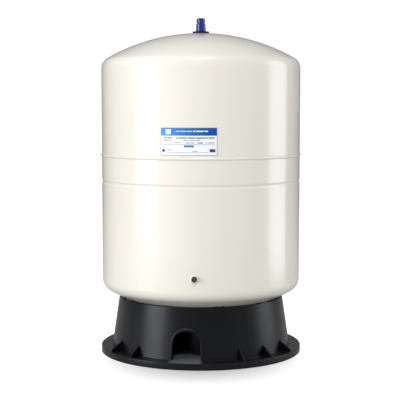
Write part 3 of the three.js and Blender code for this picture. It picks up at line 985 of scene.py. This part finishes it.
def core_pin():
    """The pin that a gauge presses, with a collar for its spring and a foot behind its seal."""
    low, high, collar_low = -9.5, 8.6, 6.2
    pin, foot, collar = 0.5, 1, 1.2
    corners = [
        (0, low, 0),
        (foot, low, 0.15),
        (foot, low + 0.7, 0.15),
        (pin, low + 0.7, 0),
        (pin, collar_low, 0),
        (collar, collar_low, 0.1),
        (collar, collar_low + 0.6, 0.1),
        (pin, collar_low + 0.6, 0),
        (pin, high, 0.2),
        (0, high, 0),
    ]
    piece = revolve("core_pin", fillet(corners, closed=False), 32)
    move(piece, valve_frame())
    finish_piece(piece, "valve_core_plunger", "brass", BRASS, "valve_core_pin")


def core_seal():
    low, high, inner, outer = -8.5, -6.3, 0.8, 2
    corners = [(inner, low, 0.15), (outer, low, 0.3), (outer, high, 0.3), (inner, high, 0.15)]
    piece = revolve("core_seal", fillet(corners), TINY_ROUND)
    move(piece, valve_frame())
    finish_piece(piece, "valve_core_plunger", "seal_rubber", SEAL, "valve_core_seal")


def core_spring():
    """The pin's return spring, from the core to the pin's collar."""
    radius, wire, turns = 1, 0.16, 5
    low, high = -1.54, 5.74
    steps_per_turn, sides = 24, 8
    steps = turns * steps_per_turn
    vertices = []
    for i in range(steps + 1):
        angle = 2 * math.pi * i / steps_per_turn
        centre = Vector((radius * math.cos(angle), radius * math.sin(angle), 0))
        centre.z = low + (high - low) * i / steps
        outward = Vector((math.cos(angle), math.sin(angle), 0))
        for k in range(sides):
            round_wire = 2 * math.pi * k / sides
            offset = outward * math.cos(round_wire) + Vector((0, 0, math.sin(round_wire)))
            vertices.append(centre + offset * wire)
    faces = [list(range(sides)), list(range((steps + 1) * sides - 1, steps * sides - 1, -1))]
    for i in range(steps):
        for k in range(sides):
            n = (k + 1) % sides
            a, b = i * sides, (i + 1) * sides
            faces.append([a + n, a + k, b + k, b + n])
    piece = new_piece("core_spring", vertices, faces, 60)
    move(piece, valve_frame())
    finish_piece(piece, None, "spring_steel", SPRING, "valve_core_spring")
    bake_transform(piece)


# ---- The stand ----

RIM_OUTER = underside_at(SKIRT_HIGH_RADIUS) - RIM_CLEAR
RIM_INNER = underside_at(SKIRT_HIGH_RADIUS - STAND_WALL) - RIM_CLEAR
FLOOR_BOTTOM = FLANGE_TOP - FLOOR_THICK


def skirt_radius(height):
    share = (height - FLANGE_TOP) / (RIM_OUTER - FLANGE_TOP)
    return SKIRT_LOW_RADIUS + (SKIRT_HIGH_RADIUS - SKIRT_LOW_RADIUS) * share


def stand_body():
    """The turned part of the stand: foot, flange, skirt, floor and hollow centre column."""
    foot_inner = STAND_RADIUS - FOOT
    column_foot = COLUMN_BASE - STAND_WALL + 6
    corners = [
        (foot_inner, 0, 0.4),
        (STAND_RADIUS, 0, 0.8),
        (STAND_RADIUS, FLANGE_TOP, 1.6),
        (SKIRT_LOW_RADIUS, FLANGE_TOP, 1.6),
        (SKIRT_HIGH_RADIUS, RIM_OUTER, 0.8),
        (SKIRT_HIGH_RADIUS - STAND_WALL, RIM_INNER, 0.8),
        (SKIRT_LOW_RADIUS - STAND_WALL, FLANGE_TOP, 1.6),
        (COLUMN_BASE, FLANGE_TOP, 1.6),
        (COLUMN_TOP, COLUMN_HEIGHT, 0.8),
        (COLUMN_HOLE, COLUMN_HEIGHT, 0.8),
        (COLUMN_HOLE, COLUMN_HEIGHT - STAND_WALL, 0.8),
        (COLUMN_TOP - STAND_WALL, COLUMN_HEIGHT - STAND_WALL, 1.2),
        (COLUMN_BASE - STAND_WALL, 0, 0.4),
        (column_foot, 0, 0.4),
        (column_foot, FLOOR_BOTTOM, 0.8),
        (foot_inner, FLOOR_BOTTOM, 0.8),
    ]
    return revolve("stand", fillet(corners, steps=5))


def arch_outline(grow, bottom, steps=20):
    """The arch in the X-Z plane, counter-clockwise from its lower right corner."""
    spring = ARCH_TOP - ARCH_CORNER
    centre = ARCH_SPRING_HALF - ARCH_CORNER
    radius = ARCH_CORNER + grow
    points = [(ARCH_BOTTOM_HALF + grow, bottom)]
    for side, first in ((1, 0), (-1, math.pi / 2)):
        for i in range(steps + 1):
            angle = first + math.pi / 2 * i / steps
            x = side * centre + radius * math.cos(angle)
            points.append((x, spring + radius * math.sin(angle)))
    points.append((-ARCH_BOTTOM_HALF - grow, bottom))
    return points


def arch_rim(name):
    """The raised rim: a rounded section swept round the arch, bent to the skirt's cone."""
    outline = arch_outline(0, FLANGE_TOP - 1)
    proud, wide, deep = ARCH_RIM_PROUD, ARCH_RIM_WIDE, -STAND_WALL
    section = fillet(
        [(0, deep, 0.8), (0, proud, 1.6), (wide, proud, 1.8), (wide, deep, 0)],
        steps=5,
    )
    count = len(section)
    vertices = []
    for i, (x, z) in enumerate(outline):
        ahead = Vector(outline[min(i + 1, len(outline) - 1)])
        behind = Vector(outline[max(i - 1, 0)])
        along = (ahead - behind).normalized()
        outward = Vector((along.y, -along.x))
        if i in (0, len(outline) - 1):
            outward = Vector((1 if x > 0 else -1, 0))
        for across, depth in section:
            px, pz = x + outward.x * across, z + outward.y * across
            cone = math.sqrt(skirt_radius(pz) ** 2 - px**2)
            vertices.append((px, -cone - depth, pz))
    faces = [list(range(count - 1, -1, -1)), list(range(len(vertices) - count, len(vertices)))]
    for i in range(len(outline) - 1):
        for k in range(count):
            n = (k + 1) % count
            a, b = i * count, (i + 1) * count
            faces.append([a + k, a + n, b + n, b + k])
    rim = new_piece(name, vertices, faces)
    face_outwards(rim)
    return rim


def face_outwards(piece):
    """Turns a closed mesh's faces so that they all point out."""
    mesh = bmesh.new()
    mesh.from_mesh(piece.data)
    bmesh.ops.recalc_face_normals(mesh, faces=mesh.faces)
    if mesh.calc_volume(signed=True) < 0:
        bmesh.ops.reverse_faces(mesh, faces=mesh.faces)
    mesh.to_mesh(piece.data)
    mesh.free()


def gusset(name):
    """A triangular rib along +X, from the skirt to the flange's edge, with softened edges."""
    low = FLANGE_TOP - 1
    high = FLANGE_TOP + GUSSET_TALL
    tip = STAND_RADIUS - 1.2
    root = skirt_radius(high) - 2
    outline = [
        (root, low),
        (tip, low),
        (tip, FLANGE_TOP + GUSSET_NOSE),
        (skirt_radius(high) + 0.8, high),
        (root, high),
    ]
    piece = prism(name, outline, -GUSSET_THICK / 2, GUSSET_THICK / 2)
    face_outwards(piece)
    round_edges(piece, 0.5)
    return piece


def box_piece(name, low, high):
    """A block between two corners."""
    outline = [(low[0], low[2]), (high[0], low[2]), (high[0], high[2]), (low[0], high[2])]
    piece = prism(name, outline, low[1], high[1])
    face_outwards(piece)
    return piece


def rim_pads():
    """The pads on the skirt's top edge that the tank sits on."""
    rise = RIM_CLEAR - GAP
    inner, outer = SKIRT_HIGH_RADIUS - STAND_WALL + 0.3, SKIRT_HIGH_RADIUS - 0.3
    corners = [
        (inner, RIM_INNER - 2, 0),
        (outer, RIM_OUTER - 2, 0),
        (outer, RIM_OUTER + rise, 0.5),
        (inner, RIM_INNER + rise, 0.5),
    ]
    ring = revolve("pad_ring", fillet(corners))
    blocks = None
    for i in range(PADS):
        low = (-PAD_WIDE / 2, -outer - 4, RIM_INNER - 6)
        high = (PAD_WIDE / 2, -inner + 6, RIM_OUTER + 6)
        block = box_piece(f"pad_block_{i}", low, high)
        turn(block, (i + 0.5) * 360 / PADS + PAD_BEARING)
        if blocks:
            combine(blocks, block, "UNION")
        else:
            blocks = block
    combine(ring, blocks, "INTERSECT")
    return ring


def drill_for_screws(piece, radius):
    """Bores a hole for each screw between the hollow of the column and the tank's underside."""
    low, high = COLUMN_HEIGHT - 3 * STAND_WALL, COLUMN_HEIGHT + 2.5 * STAND_WALL
    for centre in SCREW_CENTRES:
        hole = revolve("screw_hole", [(0, low), (radius, low), (radius, high), (0, high)], 32)
        stand_at(hole, centre)
        combine(piece, hole, "DIFFERENCE")


def stand_at(piece, centre):
    """Moves what is drawn round the tank's axis to a screw's axis."""
    move(piece, Matrix.Translation(Vector((centre.x, centre.y, 0)) * MM))


def base_stand():
    """The stand in one piece, with an arch and its gussets at the front and again at the back."""
    stand = stand_body()
    for half_turn in (0, 180):
        opening = arch_outline(1, FLANGE_TOP + 0.02)
        cutter = prism("arch_cutter", opening, -STAND_RADIUS - 4, -skirt_radius(RIM_OUTER) + 30)
        face_outwards(cutter)
        combine(stand, turn(cutter, half_turn), "DIFFERENCE")
        combine(stand, turn(arch_rim("arch_rim"), half_turn), "UNION")
        for bearing in GUSSET_BEARINGS:
            combine(stand, turn(gusset("gusset"), half_turn + bearing - 90), "UNION")
    for i in range(FLOOR_RIBS):
        low = (COLUMN_BASE, -1.5, 1.5)
        high = (STAND_RADIUS - FOOT + 1, 1.5, FLOOR_BOTTOM + 1)
        rib = box_piece("floor_rib", low, high)
        combine(stand, turn(rib, (i + 0.5) * 360 / FLOOR_RIBS), "UNION")
    combine(stand, rim_pads(), "UNION")
    drill_for_screws(stand, 2.4)
    finish_piece(stand, "vessel", "stand_plastic", STAND, "base_stand")


def support_ring():
    """The rolled ring under the tank, drilled for the screws that hold the stand."""
    outer, wall, inner, thick = 80, 2.5, 57, 2.5
    bottom = COLUMN_HEIGHT + GAP
    corners = [
        (inner, bottom, 0.6),
        (outer, bottom, 2.5),
        (outer, underside_at(outer) - 0.1, 0.3),
        (outer - wall, underside_at(outer - wall) - 0.1, 0.3),
        (outer - wall, bottom + thick, 1.2),
        (inner, bottom + thick, 0.6),
    ]
    ring = revolve("support_ring", fillet(corners))
    drill_for_screws(ring, 2.3)
    finish_piece(ring, "vessel", "cream_paint", PAINT, "base_support_ring")


def base_screw(index, centre):
    """A pan-head screw, head down, with a cross recess and a coarse thread."""
    head_low, head, shank, pitch = SCREW_LOW, 4.8, 2.0, 1.4
    seat = head_low + 3
    thread_low = seat + 1
    tip = SCREW_HIGH
    head_corners = [
        (0, head_low, 0),
        (3.6, head_low, 1.2),
        (head, head_low + 1.6, 1),
        (head, seat, 0),
    ]
    outline = fillet(head_corners, closed=False)
    outline += [(shank + 0.2, seat), (shank, seat + 0.3)]
    outline += climb(shank, thread_low, tip - 2, pitch)
    outline += [(0.5, tip - 0.2), (0, tip)]
    name = f"stand_screw_{index}"
    screw = revolve(name, outline, TINY_ROUND, thread(pitch, 0.5, thread_low, tip - 2))
    for turned in (0, 90):
        blade = box_piece("recess", (-2.4, -0.45, head_low - 1), (2.4, 0.45, head_low + 1.5))
        combine(screw, turn(blade, turned + 20 * index), "DIFFERENCE")
    stand_at(screw, centre)
    finish_piece(screw, "vessel", "zinc_steel", ZINC, f"base_screw_{index}")


# ---- The studio ----


def floor():
    size = 40
    mesh = bpy.data.meshes.new("floor")
    corners = [(-size, -size, 0), (size, -size, 0), (size, size, 0), (-size, size, 0)]
    mesh.from_pydata(corners, [], [(0, 1, 2, 3)])
    plane = bpy.data.objects.new("floor", mesh)
    bpy.context.scene.collection.objects.link(plane)
    mesh.materials.append(floor_look())


def area_light(name, place, aim, size, power, shades=True, shines=True):
    """A rectangular softbox, size (width, height) in metres, turned towards a point. One that only
    shades lights surfaces without being mirrored in them; one that only shines does the reverse."""
    data = bpy.data.lights.new(name, "AREA")
    data.shape = "RECTANGLE"
    data.size, data.size_y = size
    data.energy = power
    light = bpy.data.objects.new(name, data)
    light.location = place
    light.rotation_euler = (Vector(aim) - Vector(place)).to_track_quat("-Z", "Y").to_euler()
    light.visible_camera = False
    light.visible_diffuse = shades
    light.visible_glossy = shines
    bpy.context.scene.collection.objects.link(light)


def lights():
    """A tall key at the left, a narrow strip for the right-hand gleam, and soft fills between."""
    middle = (0, 0, 0.36)
    area_light("key", polar(-62, 2.6, 0.95), middle, (1.25, 1.9), 33)
    area_light("left_fill", polar(-40, 2.6, 0.3), middle, (1.6, 0.8), 20, shines=False)
    area_light("right_fill", polar(45, 2.8, 0.4), middle, (1.6, 0.8), 7, shines=False)
    area_light("front", polar(0, 2.2, 2.1), middle, (0.35, 0.35), 25, shines=False)
    area_light("right_edge", polar(88, 2.6, 0.35), middle, (1, 1), 25, shines=False)
    area_light("strip", polar(92, 1.2, 0.5), middle, (0.6, 1.6), 5.2, shades=False)
    area_light("top", polar(2, 0.6, 2.0), middle, (0.45, 0.25), 2)
    area_light("overhead", polar(180, 0.9, 2.4), (0, 0, 0), (1.6, 1.6), 25, shines=False)


def world():
    """Pale surroundings that the camera sees as white. A dot product with the kinds of ray gives
    their strength."""
    scene = bpy.context.scene
    scene.view_settings.view_transform = "Standard"
    scene.world = bpy.data.worlds.new("studio")
    scene.world.use_nodes = True
    nodes = scene.world.node_tree.nodes
    links = scene.world.node_tree.links
    background = nodes["Background"]
    background.inputs["Color"].default_value = (1, 1, 1, 1)
    path = nodes.new("ShaderNodeLightPath")
    rays = nodes.new("ShaderNodeCombineXYZ")
    rays.inputs["X"].default_value = 1
    links.new(path.outputs["Is Glossy Ray"], rays.inputs["Y"])
    links.new(path.outputs["Is Camera Ray"], rays.inputs["Z"])
    strength = nodes.new("ShaderNodeVectorMath")
    strength.operation = "DOT_PRODUCT"
    strength.inputs[1].default_value = (
        WORLD_CAST,
        WORLD_MIRRORED - WORLD_CAST,
        WORLD_SEEN - WORLD_CAST,
    )
    links.new(rays.outputs["Vector"], strength.inputs[0])
    links.new(strength.outputs["Value"], background.inputs["Strength"])


def camera():
    """A camera that looks slightly down at the middle of the vessel."""
    drop = math.atan((CAMERA_HEIGHT - VIEW_MIDDLE) / CAMERA_DISTANCE)
    aside = math.atan(VIEW_ASIDE / CAMERA_DISTANCE)
    data = bpy.data.cameras.new("camera")
    data.sensor_width = SENSOR
    data.lens = SENSOR * CAMERA_DISTANCE / math.cos(drop) / VIEW_WIDTH
    data.clip_end = 200
    eye = bpy.data.objects.new("camera", data)
    eye.location = polar(0, CAMERA_DISTANCE, CAMERA_HEIGHT)
    eye.rotation_euler = (math.pi / 2 - drop, 0, math.radians(CAMERA_BEARING) + aside)
    bpy.context.scene.collection.objects.link(eye)
    bpy.context.scene.camera = eye


# ---- Assembly ----

camera()
lights()
world()
floor()

upper_shell()
lower_shell()
girth_bead()
label()

water_nipple()
seal_ring("connection_seal", "nipple_seal", radius=12, section=1.3, height=TANK_TOP - 5.2)
nipple_washer()
nipple_cap()
water_liner()
diaphragm()
clench_ring()

valve_boss()
valve_stem()
valve_seal()
core_body()
core_pin()
core_seal()
core_spring()
valve_cap()

base_stand()
support_ring()
for number, screw_centre in enumerate(SCREW_CENTRES, start=1):
    base_screw(number, screw_centre)
